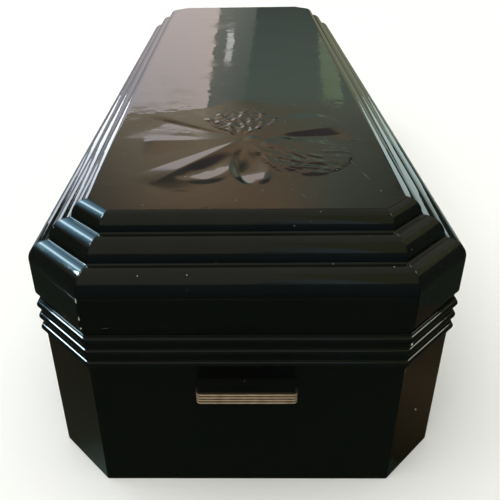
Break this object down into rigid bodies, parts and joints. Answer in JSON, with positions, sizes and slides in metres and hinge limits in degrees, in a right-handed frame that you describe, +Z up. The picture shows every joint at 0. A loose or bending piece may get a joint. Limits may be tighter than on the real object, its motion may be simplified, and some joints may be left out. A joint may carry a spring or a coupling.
{
  "type": "wooden coffin",
  "caption": "Eight-sided wooden coffin in black gloss lacquer: hollow box with beaded moulding and bar handles, and a tiered lift-off lid with a flower carved in low relief.",
  "frame": {"origin": "middle of the underside, on the floor", "axes": "+Z up, +Y along the length from the carved end to the plain end, +X across the width"},
  "size_m": [0.7886, 2.0646, 0.5237],
  "materials": {
    "black_lacquered_wood": "black gloss lacquer over wood, slightly wavy, with fine dust and scratches",
    "reeded_brass": "aged reeded brass strip, satin"
  },
  "bodies": {
    "root": {"bottom_board": "black_lacquered_wood", "body_wall_front": "black_lacquered_wood", "body_wall_front_right": "black_lacquered_wood", "body_wall_right": "black_lacquered_wood", "body_wall_back_right": "black_lacquered_wood", "body_wall_back": "black_lacquered_wood", "body_wall_back_left": "black_lacquered_wood", "body_wall_left": "black_lacquered_wood", "body_wall_front_left": "black_lacquered_wood", "bead_strip_front": "black_lacquered_wood", "bead_strip_front_right": "black_lacquered_wood", "bead_strip_right": "black_lacquered_wood", "bead_strip_back_right": "black_lacquered_wood", "bead_strip_back": "black_lacquered_wood", "bead_strip_back_left": "black_lacquered_wood", "bead_strip_left": "black_lacquered_wood", "bead_strip_front_left": "black_lacquered_wood", "handle_front": "black_lacquered_wood", "handle_right_1": "black_lacquered_wood", "handle_right_2": "black_lacquered_wood", "handle_right_3": "black_lacquered_wood", "handle_back": "black_lacquered_wood", "handle_left_1": "black_lacquered_wood", "handle_left_2": "black_lacquered_wood", "handle_left_3": "black_lacquered_wood", "handle_strip_front": "reeded_brass", "handle_strip_right_1": "reeded_brass", "handle_strip_right_2": "reeded_brass", "handle_strip_right_3": "reeded_brass", "handle_strip_back": "reeded_brass", "handle_strip_left_1": "reeded_brass", "handle_strip_left_2": "reeded_brass", "handle_strip_left_3": "reeded_brass", "lid_skirt_front": "black_lacquered_wood", "lid_skirt_front_right": "black_lacquered_wood", "lid_skirt_right": "black_lacquered_wood", "lid_skirt_back_right": "black_lacquered_wood", "lid_skirt_back": "black_lacquered_wood", "lid_skirt_back_left": "black_lacquered_wood", "lid_skirt_left": "black_lacquered_wood", "lid_skirt_front_left": "black_lacquered_wood", "lid_shoulder_front": "black_lacquered_wood", "lid_shoulder_front_right": "black_lacquered_wood", "lid_shoulder_right": "black_lacquered_wood", "lid_shoulder_back_right": "black_lacquered_wood", "lid_shoulder_back": "black_lacquered_wood", "lid_shoulder_back_left": "black_lacquered_wood", "lid_shoulder_left": "black_lacquered_wood", "lid_shoulder_front_left": "black_lacquered_wood", "lid_tier_front": "black_lacquered_wood", "lid_tier_front_right": "black_lacquered_wood", "lid_tier_right": "black_lacquered_wood", "lid_tier_back_right": "black_lacquered_wood", "lid_tier_back": "black_lacquered_wood", "lid_tier_back_left": "black_lacquered_wood", "lid_tier_left": "black_lacquered_wood", "lid_tier_front_left": "black_lacquered_wood", "lid_top_panel": "black_lacquered_wood"}
  },
  "joints": []
}
